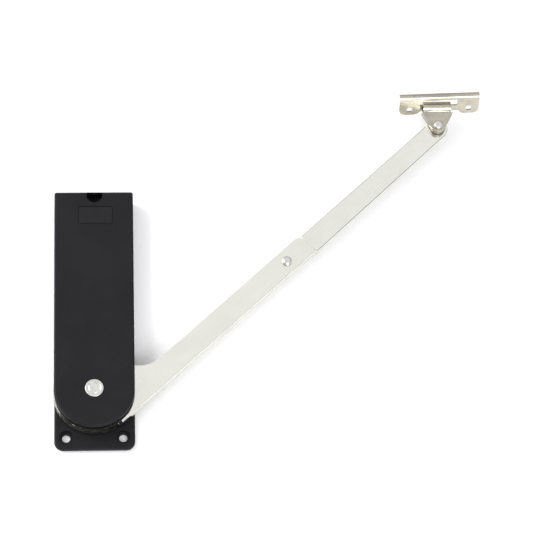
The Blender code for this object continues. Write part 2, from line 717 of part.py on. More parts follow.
def strap_outline():
    """The strap's plan: round about the rivet, flared to the bend line, narrower in the loop."""
    bend = STRAP_REACH - STRAP_LOOP_RADIUS - STRAP_SHEET / 2
    wide = STRAP_EAR_WIDTH / 2
    loop = STRAP_LOOP_WIDTH / 2
    far = STRAP_REACH + STRAP_LOOP_RADIUS + STRAP_SHEET
    leaves = math.degrees(math.atan2(wide, bend) + math.acos(STRAP_EAR_RADIUS / math.hypot(bend, wide)))
    outline = arc((0.0, 0.0), STRAP_EAR_RADIUS, leaves, 360.0 - leaves, 14)
    outline += [(bend, -wide), (bend, -loop), (far, -loop), (far, loop), (bend, loop), (bend, wide)]
    return [from_ear(*point) for point in outline]


def hinge_strap():
    bm = bmesh.new()
    half = STRAP_EAR_WIDTH / 2 + 2.0
    verts = []
    for along, height in strap_section():
        verts.append(bm.verts.new((*from_ear(along, -half), STRAP_Z + height)))
    grown = bmesh.ops.extrude_face_region(bm, geom=[bm.faces.new(verts)])
    moved = [part for part in grown["geom"] if isinstance(part, bmesh.types.BMVert)]
    across = Vector((*from_ear(0.0, half), 0.0)) - Vector((*from_ear(0.0, -half), 0.0))
    bmesh.ops.translate(bm, verts=moved, vec=across)
    made = to_object("hinge_strap", bm)
    boolean(made, prism("cutter_strap_plan", strap_outline(), 5.0, 25.0), "INTERSECT")
    drill(made, *from_ear(0.0, 0.0), ELBOW_SHANK + GAP, 5.0, 25.0, 20)
    set_origin(made, *from_ear(0.0, 0.0))
    return finish(made, material("nickel-plated strap steel", (0.66, 0.65, 0.62), 0.28, 1.0))


def bracket_face_outline():
    """The bracket's face: straight at the ridge and ends, a lobe round each screw hole, a notch between them."""
    half = BRACKET_LENGTH / 2
    lobe = BRACKET_LOBE
    middle = -BRACKET_HOLE_DROP
    notch = BRACKET_LOBE_INNER - lobe
    web = -BRACKET_WEB / 2
    outline = [(half, BRACKET_RIDGE + 1.0), (-half, BRACKET_RIDGE + 1.0)]
    outline += arc((-half + lobe, middle), lobe, 180.0, 270.0, 10)
    outline += arc((-BRACKET_LOBE_INNER, middle), lobe, 270.0, 330.0, 8)
    outline += [(-notch, web), (notch, web)]
    outline += arc((BRACKET_LOBE_INNER, middle), lobe, 210.0, 270.0, 8)
    outline += arc((half - lobe, middle), lobe, 270.0, 360.0, 10)
    return outline


def bracket_section():
    """The bracket seen from its end: face, bend and short lip, as (up the face, out of the face) points."""
    half = BRACKET_SHEET / 2
    inner = BRACKET_RIDGE - BRACKET_SHEET
    bend = BRACKET_BEND
    outer_bend = bend + BRACKET_SHEET
    foot = -BRACKET_HOLE_DROP - BRACKET_LOBE - 1.0
    tip = half - BRACKET_LIP
    section = [(foot, half), (foot, -half)]
    section += arc((inner - bend, -half - bend), bend, 90.0, 0.0, 4)
    section += [(inner, tip), (BRACKET_RIDGE, tip)]
    section += arc((BRACKET_RIDGE - outer_bend, half - outer_bend), outer_bend, 0.0, 90.0, 8)
    return section


def wall_bracket():
    bm = bmesh.new()
    length = BRACKET_LENGTH / 2 + 1.0
    face = bm.faces.new([bm.verts.new((-length, up, out)) for up, out in bracket_section()])
    grown = bmesh.ops.extrude_face_region(bm, geom=[face])
    moved = [part for part in grown["geom"] if isinstance(part, bmesh.types.BMVert)]
    bmesh.ops.translate(bm, verts=moved, vec=(2.0 * length, 0.0, 0.0))
    made = to_object("wall_bracket", bm)
    boolean(made, prism("cutter_bracket_plan", bracket_face_outline(), -5.0, 5.0), "INTERSECT")
    wide, deep = BRACKET_SLOT
    web = BRACKET_WEB / 2
    slot = rounded_rectangle(-wide / 2, web, wide / 2, web + deep, 0.8, 3)
    boolean(made, prism("cutter_slot", slot, -5.0, 5.0))
    slope = math.radians(BRACKET_SLOPE)
    for side in (-1, 1):
        x = side * BRACKET_HOLE_SPACING / 2
        drill(made, x, -BRACKET_HOLE_DROP, BRACKET_HOLE_RADIUS, -5.0, 5.0, 24)
    web_x, web_y = from_ear(STRAP_REACH, 0.0)
    place = Vector((web_x + BRACKET_SHIFT, web_y + PIVOT_Y, STRAP_Z)) * MM
    turn = Matrix.Rotation(math.radians(BRACKET_TURN), 4, "Z") @ Matrix.Rotation(slope, 4, "X")
    unshift = Matrix.Translation(Vector((0.0, -PIVOT_Y, 0.0)) * MM)
    shapes = [made] + [modifier.object for modifier in made.modifiers]
    for shape in shapes:
        shape.data.transform(unshift)
        shape.matrix_world = Matrix.Translation(place) @ turn
    return finish(made, material("nickel-plated bracket steel", (0.5, 0.49, 0.46), 0.32, 1.0))


def main():
    clear_scene()
    housing()
    name_plate()
    pivot_rivet()
    bush_outer = pivot_stack()
    main_arm(bush_outer)
    cam(bush_outer)
    cam_rivets()
    cam_roller()
    spring_slider()
    guide_rods()
    spring_seat()
    closing_spring("closing_spring_left", -1)
    closing_spring("closing_spring_right", 1)
    damper()
    link_arm()
    arm_rivets()
    hinge_strap()
    wall_bracket()


main()
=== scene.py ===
"""Looks for a surface door closer.

It has a black bent housing, folded nickel-plated arms, a hinge strap and a slotted bracket. The CAD frame
gives every place. Visible sheet-metal pieces are modelled again here with their bend radii, softened edges
and domed rivets; the works inside the housing keep their CAD shapes and get finishes.
"""

from __future__ import annotations

import json
import logging
import math
from dataclasses import dataclass, field
from enum import Enum
from typing import Callable, Iterable

import bmesh
import bpy
from mathutils import Matrix, Vector

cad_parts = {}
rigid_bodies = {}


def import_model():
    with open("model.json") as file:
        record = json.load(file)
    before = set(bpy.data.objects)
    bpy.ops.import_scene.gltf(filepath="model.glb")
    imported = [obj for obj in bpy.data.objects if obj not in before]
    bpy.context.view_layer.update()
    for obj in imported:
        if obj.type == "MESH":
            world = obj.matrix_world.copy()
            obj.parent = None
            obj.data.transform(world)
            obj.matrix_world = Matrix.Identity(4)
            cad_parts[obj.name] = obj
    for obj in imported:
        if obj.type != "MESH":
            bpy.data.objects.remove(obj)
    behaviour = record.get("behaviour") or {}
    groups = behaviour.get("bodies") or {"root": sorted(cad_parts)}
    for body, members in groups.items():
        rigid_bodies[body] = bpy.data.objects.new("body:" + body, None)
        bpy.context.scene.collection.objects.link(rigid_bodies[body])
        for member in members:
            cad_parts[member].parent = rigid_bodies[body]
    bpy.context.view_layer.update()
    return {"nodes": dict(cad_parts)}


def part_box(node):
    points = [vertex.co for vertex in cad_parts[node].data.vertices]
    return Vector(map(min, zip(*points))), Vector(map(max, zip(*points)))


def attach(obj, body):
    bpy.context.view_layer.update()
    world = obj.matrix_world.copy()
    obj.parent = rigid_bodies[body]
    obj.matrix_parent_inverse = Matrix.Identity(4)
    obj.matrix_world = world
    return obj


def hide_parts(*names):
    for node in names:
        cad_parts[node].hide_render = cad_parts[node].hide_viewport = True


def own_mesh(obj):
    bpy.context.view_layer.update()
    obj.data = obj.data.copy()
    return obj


LOG = logging.getLogger("door_closer")

MM = 0.001

# The pivot axis, and how the parts lie on each other, in millimetres
PIVOT_Y = -47.75
ARM_ANGLE = 42.6
LINK_ANGLE = 42.85
STRAP_ANGLE = 90.6
BRACKET_TURN = 2.0
BRACKET_SLOPE = 70.0
ELBOW_ALONG = 145.4
ELBOW_ACROSS = 18.9
LINK_LENGTH = 135.8
STRAP_REACH = 13.4
BRACKET_SHIFT = 1.6
STRAP_HEIGHT = 13.65
CLEARANCE = 0.3
# Places closer than this are the same place
NEAR = 0.01
# How far a cutting body goes past what it cuts
PAST = 5.0
# From below to above everything but the cover's own cuts, for holes that go right through
THROUGH = (0.0, 20.0)
# Faces larger than this, in square millimetres, are flat sheet and are shaded flat
FLAT_AREA = 6.0
# Faces that meet at less than this angle, in degrees, are shaded as one round
SMOOTH_BELOW = 40.0
# Doubled points nearer than this, in metres, are merged
MERGE = 0.00001

Point = tuple[float, float, float]
Test = Callable[[list[Vector]], bool]


class Join(Enum):
    """How one body is worked into another."""

    CUT = "DIFFERENCE"
    FUSE = "UNION"


class Part(Enum):
    """What an edit-mode selection picks."""

    VERTS = "VERT"
    EDGES = "EDGE"
    FACES = "FACE"


# Bench work: small steps that every piece is made with


def deselect_all() -> None:
    """Leave nothing selected or active, so that an operator acts only on its own piece."""
    for thing in bpy.context.view_layer.objects:
        thing.select_set(False)
    bpy.context.view_layer.objects.active = None


def pick(piece: bpy.types.Object) -> None:
    """Select one piece alone and make it active.

    Args:
        piece: The piece to work on.
    """
    deselect_all()
    piece.select_set(True)
    bpy.context.view_layer.objects.active = piece


def block(name: str, low: Point, high: Point) -> bpy.types.Object:
    """Add a rectangular blank.

    Args:
        name: Name of the piece.
        low: Lowest corner in millimetres.
        high: Highest corner in millimetres.

    Returns:
        The blank, with its size already in its mesh.
    """
    deselect_all()
    centre = [(a + b) / 2 * MM for a, b in zip(low, high)]
    size = [(b - a) * MM for a, b in zip(low, high)]
    bpy.ops.mesh.primitive_cube_add(size=1.0, location=centre, scale=size)
    made = bpy.context.active_object
    made.name = name
    bpy.ops.object.transform_apply(location=True, rotation=True, scale=True)
    return made


def disc(
    name: str, x: float, y: float, radius: float, low: float, high: float, sides: int = 96
) -> bpy.types.Object:
    """Add a round upright blank.

    Args:
        name: Name of the piece.
        x: Centre across, in millimetres.
        y: Centre along, in millimetres.
        radius: Radius in millimetres.
        low: Lower face in millimetres.
        high: Upper face in millimetres.
        sides: Number of sides.

    Returns:
        The blank, with its size already in its mesh.
    """
    deselect_all()
    place = (x * MM, y * MM, (low + high) / 2 * MM)
    depth = (high - low) * MM
    bpy.ops.mesh.primitive_cylinder_add(vertices=sides, radius=radius * MM, depth=depth, location=place)
    made = bpy.context.active_object
    made.name = name
    bpy.ops.object.transform_apply(location=True, rotation=True, scale=True)
    return made


def choose(piece: bpy.types.Object, part: Part, test: Test) -> None:
    """Enter edit mode on a piece with only the wanted vertices, edges or faces selected.

    Args:
        piece: The piece to edit.
        part: What kind of element is picked.
        test: Takes the element's corner places in millimetres and says whether it is wanted.
    """
    pick(piece)
    bpy.ops.object.mode_set(mode="EDIT")
    bpy.ops.mesh.select_all(action="DESELECT")
    bpy.ops.mesh.select_mode(type=part.value)
    net = bmesh.from_edit_mesh(piece.data)
    groups = {Part.VERTS: net.verts, Part.EDGES: net.edges, Part.FACES: net.faces}
    for element in groups[part]:
        corners = [element] if part is Part.VERTS else list(element.verts)
        if test([corner.co / MM for corner in corners]):
            element.select_set(True)
    bmesh.update_edit_mesh(piece.data)


def done() -> None:
    """Leave edit mode."""
    bpy.ops.object.mode_set(mode="OBJECT")


def round_edges(piece: bpy.types.Object, width: float, segments: int, test: Test) -> None:
    """Round the chosen edges of a piece.

    Args:
        piece: The piece to work on.
        width: Radius in millimetres.
        segments: How finely the round is made.
        test: Picks the edges.
    """
    choose(piece, Part.EDGES, test)
    bpy.ops.mesh.bevel(offset=width * MM, segments=segments, affect="EDGES", clamp_overlap=True)
    done()


def level(axis: int, value: float) -> Test:
    """Make a test for elements that lie wholly at one level.

    Args:
        axis: 0, 1 or 2.
        value: The level in millimetres.

    Returns:
        The test.
    """
    return lambda corners: all(abs(corner[axis] - value) < NEAR for corner in corners)


def upright(corners: list[Vector]) -> bool:
    """Whether an edge stands upright."""
    return all(abs(corners[0][axis] - corners[1][axis]) < NEAR for axis in (0, 1))


def work(piece: bpy.types.Object, tool: bpy.types.Object, join: Join) -> None:
    """Cut or fuse a piece with a tool body, which is used up.

    Args:
        piece: The piece that stays.
        tool: The body that it is worked with.
        join: What is done.
    """
    pick(piece)
    step = piece.modifiers.new("work", "BOOLEAN")
    step.operation = join.value
    step.solver = "EXACT"
    step.object = tool
    bpy.ops.object.modifier_apply(modifier=step.name)
    bpy.data.objects.remove(tool, do_unlink=True)


def soften(piece: bpy.types.Object, width: float, segments: int = 2, angle: float = 32.0) -> None:
    """Break the sharp edges of a piece and shade it.

    Args:
        piece: The piece to finish.
        width: Width of the broken edge in millimetres.
        segments: How finely it is made.
        angle: Edges sharper than this are broken, in degrees.
    """
    pick(piece)
    if width:
        step = piece.modifiers.new("soften", "BEVEL")
        step.width = width * MM
        step.segments = segments
        step.limit_method = "ANGLE"
        step.angle_limit = math.radians(angle)
        step.miter_outer = "MITER_ARC"
        step.use_clamp_overlap = True
        bpy.ops.object.modifier_apply(modifier=step.name)
    bpy.ops.object.shade_smooth_by_angle(angle=math.radians(SMOOTH_BELOW))
    for face in piece.data.polygons:
        if face.area > FLAT_AREA * MM * MM:
            face.use_smooth = False


def settle(piece: bpy.types.Object, place: Matrix) -> bpy.types.Object:
    """Carry a piece from its own drawing to its place, and leave its object at the origin.

    Args:
        piece: The piece, drawn about its own origin.
        place: Its place in the frame.

    Returns:
        The same piece.
    """
    pick(piece)
    piece.matrix_world = place
    bpy.ops.object.transform_apply(location=True, rotation=True, scale=True)
    return piece


def tidy_skin(piece: bpy.types.Object) -> None:
    """Merge doubled points and turn every face outwards."""
    choose(piece, Part.VERTS, lambda corners: True)
    bpy.ops.mesh.remove_doubles(threshold=MERGE)
    bpy.ops.mesh.normals_make_consistent(inside=False)
    done()


def thicken(piece: bpy.types.Object, sheet: float) -> None:
    """Give a drawn surface its sheet's thickness, half to each side.

    Args:
        piece: The surface.
        sheet: Thickness in millimetres.
    """
    wall = piece.modifiers.new("wall", "SOLIDIFY")
    wall.thickness = sheet * MM
    wall.offset = 0.0
    wall.use_even_offset = True
    bpy.ops.object.modifier_apply(modifier=wall.name)
    tidy_skin(piece)


def turned_place(x: float, y: float, z: float, angle: float) -> Matrix:
    """Give a place in the frame.

    Args:
        x: Across from the pivot axis, in millimetres.
        y: Along from the pivot axis, in millimetres.
        z: Height above the mounting face, in millimetres.
        angle: Turn about the upright axis, in degrees.

    Returns:
        The place as a matrix in metres.
    """
    shift = Matrix.Translation(Vector((x, y + PIVOT_Y, z)) * MM)
    return shift @ Matrix.Rotation(math.radians(angle), 4, "Z")


def along(
    start: tuple[float, float], distance: float, angle: float, across: float = 0.0
) -> tuple[float, float]:
    """Step from a point along a direction and to its left.

    Args:
        start: The point, in millimetres.
        distance: How far along.
        angle: The direction in degrees.
        across: How far to the left.

    Returns:
        The new point.
    """
    turn = math.radians(angle)
    x = start[0] + distance * math.cos(turn) - across * math.sin(turn)
    y = start[1] + distance * math.sin(turn) + across * math.cos(turn)
    return x, y


ELBOW = along((0.0, 0.0), ELBOW_ALONG, ARM_ANGLE, -ELBOW_ACROSS)
EAR = along(ELBOW, LINK_LENGTH, LINK_ANGLE)
WEB = along(EAR, STRAP_REACH, STRAP_ANGLE)


# Finishes


def linear(code: str) -> tuple[float, float, float, float]:
    """Turn an sRGB hex colour into the linear values that a shader takes.

    Args:
        code: Six hex digits.

    Returns:
        Red, green, blue and one.
    """
    values = []
    for start in (0, 2, 4):
        part = int(code[start : start + 2], 16) / 255.0
        values.append(part / 12.92 if part <= 0.04045 else ((part + 0.055) / 1.055) ** 2.4)
    return values[0], values[1], values[2], 1.0


def node(
    tree: bpy.types.NodeTree,
    kind: str,
    settings: dict[str, object] | None = None,
    inputs: dict[str, object] | None = None,
) -> bpy.types.Node:
    """Add one node with its settings and links.

    Args:
        tree: The node tree.
        kind: The node's type name.
        settings: Properties of the node.
        inputs: Value or source socket for each input, by name or number.

    Returns:
        The node.
    """
    made = tree.nodes.new(kind)
    for name, value in (settings or {}).items():
        setattr(made, name, value)
    for name, value in (inputs or {}).items():
        socket = made.inputs[int(name)] if name.isdigit() else made.inputs[name]
        if isinstance(value, bpy.types.NodeSocket):
            tree.links.new(value, socket)
        else:
            socket.default_value = value
    return made


def noise(
    tree: bpy.types.NodeTree, place: bpy.types.NodeSocket, scale: float, more: dict[str, float]
) -> bpy.types.NodeSocket:
    """Add a noise texture.

    Args:
        tree: The node tree.
        place: Its coordinates.
        scale: Repeats in a metre.
        more: Its other values.

    Returns:
        The noise's value.
    """
    inputs = {"Vector": place, "Scale": scale, **more}
    return node(tree, "ShaderNodeTexNoise", {}, inputs).outputs["Fac"]


@dataclass(frozen=True)
class Finish:
    """A surface: what it is made of, its two tones, its gloss and the sizes of its patterns.

    Attributes:
        name: Material and how its surface was made.
        tones: The darker and lighter tone as sRGB hex.
        roughness: The smoother and rougher limit.
        metallic: One for bare or plated metal, zero for a coating.
        mottle: Size in millimetres of the slow change of tone.
        grain: Size in millimetres of the fine texture.
        relief: Depth in millimetres of the fine texture.
        brushed: How many times longer than wide the grain is, along the piece.
        turn: Direction of a brushed grain, in degrees.
        ring: Radius in millimetres of a pressed ring about the pivot, or zero.
        coat: Strength of a clear gloss over a coating.
        specular: Level of the surface reflection of a coating.
    """

    name: str
    tones: tuple[str, str]
    roughness: tuple[float, float]
    metallic: float = 1.0
    mottle: float = 18.0
    grain: float = 0.5
    relief: float = 0.004
    brushed: float = 1.0
    turn: float = 0.0
    ring: float = 0.0
    coat: float = 0.0
    specular: float = 0.5

    def make(self) -> bpy.types.Material:
        """Build the material's nodes.

        Returns:
            The material.
        """
        made = bpy.data.materials.new(self.name)
        made.use_nodes = True
        tree = made.node_tree
        tree.nodes.clear()
        place = node(tree, "ShaderNodeTexCoord").outputs["Object"]
        stretch = (1.0 / self.brushed, 1.0, 1.0)
        turned = node(
            tree,
            "ShaderNodeMapping",
            {"vector_type": "TEXTURE"},
            {"Vector": place, "Rotation": (0.0, 0.0, math.radians(self.turn))},
        ).outputs["Vector"]
        grained = node(tree, "ShaderNodeMapping", {}, {"Vector": turned, "Scale": stretch}).outputs["Vector"]
        slow = noise(tree, turned, 1.0 / (self.mottle * MM), {"Detail": 5.0, "Roughness": 0.55})
        fine = noise(tree, grained, 1.0 / (self.grain * MM), {"Detail": 3.0, "Roughness": 0.6})
        scuffs = noise(tree, grained, 0.35 / (self.grain * MM), {"Detail": 4.0, "Distortion": 0.3})
        blend = node(
            tree,
            "ShaderNodeMath",
            {"operation": "MULTIPLY_ADD"},
            {"0": fine, "1": 0.35, "2": slow},
        )
        tone = node(tree, "ShaderNodeValToRGB", {}, {"Fac": blend.outputs[0]})
        tone.color_ramp.elements[0].position = 0.48
        tone.color_ramp.elements[0].color = linear(self.tones[0])
        tone.color_ramp.elements[1].position = 0.86
        tone.color_ramp.elements[1].color = linear(self.tones[1])
        gloss = node(
            tree,
            "ShaderNodeMapRange",
            {},
            {
                "Value": scuffs,
                "From Min": 0.3,
                "From Max": 0.7,
                "To Min": self.roughness[0],
                "To Max": self.roughness[1],
            },
        )
        bump = node(
            tree,
            "ShaderNodeBump",
            {},
            {"Strength": 0.6, "Distance": self.relief * MM, "Height": fine},
        )
        normal = bump.outputs["Normal"]
        if self.ring:
            normal = self.pressed_ring(tree, place, normal)
        shader = node(
            tree,
            "ShaderNodeBsdfPrincipled",
            {},
            {
                "Base Color": tone.outputs["Color"],
                "Roughness": gloss.outputs["Result"],
                "Metallic": self.metallic,
                "Normal": normal,
                "Specular IOR Level": self.specular,
                "Coat Weight": self.coat,
                "Coat Roughness": 0.25,
            },
        )
        node(tree, "ShaderNodeOutputMaterial", {}, {"Surface": shader.outputs["BSDF"]})
        return made

    def pressed_ring(
        self, tree: bpy.types.NodeTree, place: bpy.types.NodeSocket, under: bpy.types.NodeSocket
    ) -> bpy.types.NodeSocket:
        """Add the faint step that the pivot's press tool leaves round it.

        Args:
            tree: The node tree.
            place: Object coordinates.
            under: The normal that the step is added to.

        Returns:
            The new normal.
        """
        flat = node(
            tree,
            "ShaderNodeMapping",
            {},
            {"Vector": place, "Location": (0.0, -PIVOT_Y * MM, 0.0), "Scale": (1.0, 1.0, 0.0)},
        )
        away = node(tree, "ShaderNodeVectorMath", {"operation": "LENGTH"}, {"Vector": flat.outputs["Vector"]})
        step = node(
            tree,
            "ShaderNodeMapRange",
            {"interpolation_type": "SMOOTHSTEP"},
            {
                "Value": away.outputs["Value"],
                "From Min": (self.ring - 0.45) * MM,
                "From Max": (self.ring + 0.45) * MM,
                "To Min": 1.0,
                "To Max": 0.0,
            },
        )
        bump = node(
            tree,
            "ShaderNodeBump",
            {},
            {"Strength": 0.5, "Distance": 0.12 * MM, "Height": step.outputs["Result"], "Normal": under},
        )
        return bump.outputs["Normal"]


# Powder coat baked on steel: near black and even, with a fine orange-peel grain that dulls reflections.
POWDER_COAT = Finish(
    "black powder-coated steel",
    ("111114", "17171A"),
    (0.42, 0.54),
    metallic=0.0,
    mottle=26.0,
    grain=0.9,
    relief=0.012,
    ring=22.2,
    specular=0.15,
)
# Aluminium foil under black lacquer: smooth, a touch lighter and glossier than the coat round it.
LACQUERED_PLATE = Finish(
    "black lacquered plate",
    ("131316", "19191C"),
    (0.34, 0.42),
    metallic=0.0,
    mottle=12.0,
    grain=0.6,
    relief=0.003,
    specular=0.19,
)
# Bright nickel over rolled strip: pale and warm, with the strip's rolling lines just showing under the plate.
ARM_NICKEL = Finish(
    "nickel-plated arm strip",
    ("E2E2D8", "EAEAE1"),
    (0.12, 0.17),
    mottle=30.0,
    grain=0.6,
    relief=0.0003,
    brushed=14.0,
    turn=ARM_ANGLE,
)
# The same plate on the link, rolled along its own length.
LINK_NICKEL = Finish(
    "nickel-plated link channel",
    ("E1E1D8", "E9E9E1"),
    (0.12, 0.17),
    mottle=28.0,
    grain=0.6,
    relief=0.0003,
    brushed=14.0,
    turn=LINK_ANGLE,
)
# Plated after forming and slightly cloudy. Its two tones are painted shade: they are darkened to the dim,
# shadowed reflections on the bracket's face and the strap, the darker tone matching the face's shaded side
# and the lighter tone its lit side, and a soft mottle mixes them at random.
FORMED_NICKEL_PAINTED_SHADE = Finish(
    "nickel-plated formed steel", ("A8A294", "C4BFB1"), (0.2, 0.28), mottle=9.0, grain=0.5, relief=0.0006
)
# Headed and barrel-plated rivets: a cooler and greyer nickel than the arms, with tiny handling marks.
RIVET_NICKEL = Finish(
    "barrel-plated rivet nickel", ("C9C8C3", "D8D7D1"), (0.26, 0.32), mottle=4.0, grain=0.4, relief=0.0002
)
# Stamped washers: mid grey with fine tumbling marks.
WASHER_STEEL = Finish("tumbled washer steel", ("7E7F80", "9A9A99"), (0.3, 0.45), mottle=5.0, grain=0.25)
# Pressed from powder: brown gold, matt and pitted, dark with oil.
BUSH_BRONZE = Finish("sintered bronze", ("6E4A24", "9A6E3A"), (0.4, 0.55), mottle=3.0, grain=0.2, relief=0.01)
# Hardened and blacked: blue grey with straw patches.
HARD_STEEL = Finish("hardened cam steel", ("4B4D52", "6C6A66"), (0.25, 0.4), mottle=7.0, grain=0.3)
# Centreless ground: bright with close rings round the bar.
GROUND_STEEL = Finish(
    "ground rod steel", ("8B8D90", "A8A9AB"), (0.15, 0.25), mottle=8.0, grain=0.2, brushed=10.0
)
# Sheared plate with a thin oil film: dull mid grey.
SLIDER_STEEL = Finish("oiled slider plate", ("5F6163", "7B7C7C"), (0.32, 0.48), mottle=9.0, grain=0.4)
# Drawn and oil-tempered wire: dark brown grey with a soft gloss.
SPRING_STEEL = Finish("oil-tempered spring wire", ("3A3937", "56534E"), (0.28, 0.4), mottle=4.0, grain=0.25)
# Passivated zinc: pale grey with a faint yellow drift.
ZINC_BARREL = Finish("zinc-plated barrel", ("8A8C8E", "A9A893"), (0.26, 0.38), mottle=11.0, grain=0.35)
# Turned brass: warm yellow with fine tool rings.
TURNED_BRASS = Finish("turned brass", ("A07E3C", "C4A25A"), (0.2, 0.32), mottle=4.0, grain=0.2, brushed=8.0)

# Uncoated card: even white and quite matt, with a barely visible tooth.
BENCH_PAPER = Finish(
    "matt white paper",
    ("F4F4F5", "F8F8F8"),
    (0.8, 0.9),
    metallic=0.0,
    mottle=300.0,
    grain=2.0,
    relief=0.002,
)

INSIDE_FINISHES: dict[str, Finish] = {
    "pivot_bush": BUSH_BRONZE,
    "pivot_washer_upper": WASHER_STEEL,
    "pivot_washer_lower": WASHER_STEEL,
    "elbow_washer": WASHER_STEEL,
    "link_washer": WASHER_STEEL,
    "cam": HARD_STEEL,
    "cam_rivet_1": HARD_STEEL,
    "cam_rivet_2": HARD_STEEL,
    "cam_rivet_3": HARD_STEEL,
    "cam_roller": GROUND_STEEL,
    "spring_slider": SLIDER_STEEL,
    "spring_seat": SLIDER_STEEL,
    "guide_rod_left": GROUND_STEEL,
    "guide_rod_right": GROUND_STEEL,
    "damper_cylinder": ZINC_BARREL,
    "damper_end_cap": TURNED_BRASS,
    "damper_rod": GROUND_STEEL,
    "damper_adjuster": TURNED_BRASS,
}


@dataclass
class Assembly:
    """What every sub-assembly shares: its pieces, and how they are handed over."""

    pieces: list[bpy.types.Object] = field(default_factory=list)

    def hand_over(
        self, piece: bpy.types.Object, finish: Finish, body: str, nodes: Iterable[str], slot: str
    ) -> bpy.types.Object:
        """Dress a finished piece, hang it on its body and hide the CAD nodes it stands for.

        Args:
            piece: The finished piece, in its place.
            finish: Its surface.
            body: The body it moves with.
            nodes: The CAD nodes it stands for.
            slot: The finish slot it takes. Not used.

        Returns:
            The piece.
        """
        piece.data.materials.clear()
        piece.data.materials.append(ready(finish))
        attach(piece, body)
        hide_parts(*nodes)
        self.pieces.append(piece)
        LOG.info("made %s with %d faces", piece.name, len(piece.data.polygons))
        return piece


_READY: dict[str, bpy.types.Material] = {}


def ready(finish: Finish) -> bpy.types.Material:
    """Make a finish's material once and give it each time.

    Args:
        finish: The surface.

    Returns:
        Its material.
    """
    if finish.name not in _READY:
        _READY[finish.name] = finish.make()
    return _READY[finish.name]


@dataclass
class Housing(Assembly):
    """The bent black housing: base plate, end wall and cover in one, with the blank plate let into it."""

    width: float = 49.0
    height: float = 18.0
    base: float = 4.0
    cover: float = 3.5
    end_wall: float = 3.5
    bend: float = 3.6
    reach: float = 131.2
    foot: float = 34.5
    corner: float = 5.3
    hole_x: float = 17.3
    hole_y: float = -26.8
    hole: float = 2.6
    sink: float = 4.3
    sink_depth: float = 1.9
    access: float = 5.0
    access_place: tuple[float, float] = (0.4, 128.2)
    access_inset: float = 0.8
    access_floor: float = 9.0
    plate: tuple[float, float] = (21.2, 11.6)
    plate_centre: tuple[float, float] = (1.1, 114.5)
    plate_depth: float = 0.6
    plate_gap: float = 0.3
    plate_below: float = 0.08
    plate_corner: float = 1.0
    rim: float = 1.2
    hole_edge: float = 0.25
    round_shy: float = 0.05
    head_sink: tuple[float, float] = (5.9, 1.2)
    shank_hole: float = 4.3

    def build(self) -> None:
        """Make the housing and its plate."""
        half = self.width / 2
        left, right, above = -half - PAST, half + PAST, self.height + PAST
        shell = block("housing_shell", (-half, -self.foot, 0.0), (half, self.reach, self.height))
        round_edges(shell, self.bend, 8, self.at_far_end)
        back, under = self.reach - self.end_wall, self.height - self.cover
        work(shell, block("room", (left, -self.foot - PAST, self.base), (right, back, under)), Join.CUT)
        middle = (self.base + under) / 2
        work(shell, block("beyond", (left, -self.foot - PAST, middle), (right, -half, above)), Join.CUT)
        round_edges(shell, half - self.round_shy, 28, lambda c: upright(c) and level(1, -half)(c))
        round_edges(shell, self.corner, 10, lambda c: upright(c) and level(1, -self.foot)(c))
        soften(shell, self.rim, 4)
        self.drill_base(shell)
        access = disc("access", *self.access_place, self.access, self.access_floor, above, 64)
        far = self.reach - self.access_inset
        work(access, block("far_side", (left, far, 0.0), (right, far + PAST, above + PAST)), Join.CUT)
        work(shell, access, Join.CUT)
        sink, depth = self.head_sink
        for low, high in ((-PAST, depth), (self.height - depth, above)):
            work(shell, disc("rivet_sink", 0.0, 0.0, sink, low, high, 96), Join.CUT)
        work(shell, disc("rivet_hole", 0.0, 0.0, self.shank_hole, -PAST, above, 64), Join.CUT)
        floor = self.height - self.plate_depth
        work(shell, self.plate_blank("recess", 0.0, floor, above), Join.CUT)
        soften(shell, self.hole_edge)
        place = turned_place(0.0, 0.0, 0.0, 0.0)
        self.hand_over(settle(shell, place), POWDER_COAT, "housing", ["housing"], "black_housing")
        gap, below = self.plate_gap, self.plate_below
        plate = self.plate_blank("blank_plate", gap, floor + gap, self.height - below)
        soften(plate, below)
        self.hand_over(settle(plate, place), LACQUERED_PLATE, "housing", ["name_plate"], "black_plate")

    def drill_base(self, shell: bpy.types.Object) -> None:
        """Drill and sink the two mounting holes.

        Args:
            shell: The housing's shell.
        """
        above, floor = self.base + PAST, self.base - self.sink_depth
        for side in (-1, 1):
            x = side * self.hole_x
            work(shell, disc("hole", x, self.hole_y, self.hole, -PAST, above, 48), Join.CUT)
            work(shell, disc("sink", x, self.hole_y, self.sink, floor, above, 64), Join.CUT)

    def at_far_end(self, corners: list[Vector]) -> bool:
        """Whether an edge runs across the bent end, top or bottom."""
        return not upright(corners) and level(1, self.reach)(corners)

    def plate_blank(self, name: str, margin: float, low: float, high: float) -> bpy.types.Object:
        """Make a rectangle with round corners at the plate's place.

        Args:
            name: Name of the piece.
            margin: How far in from the plate's size.
            low: Lower face.
            high: Upper face.

        Returns:
            The piece.
        """
        x, y = self.plate_centre
        wide, deep = self.plate[0] / 2 - margin, self.plate[1] / 2 - margin
        made = block(name, (x - wide, y - deep, low), (x + wide, y + deep, high))
        round_edges(made, self.plate_corner - margin / 2, 5, upright)
        return made


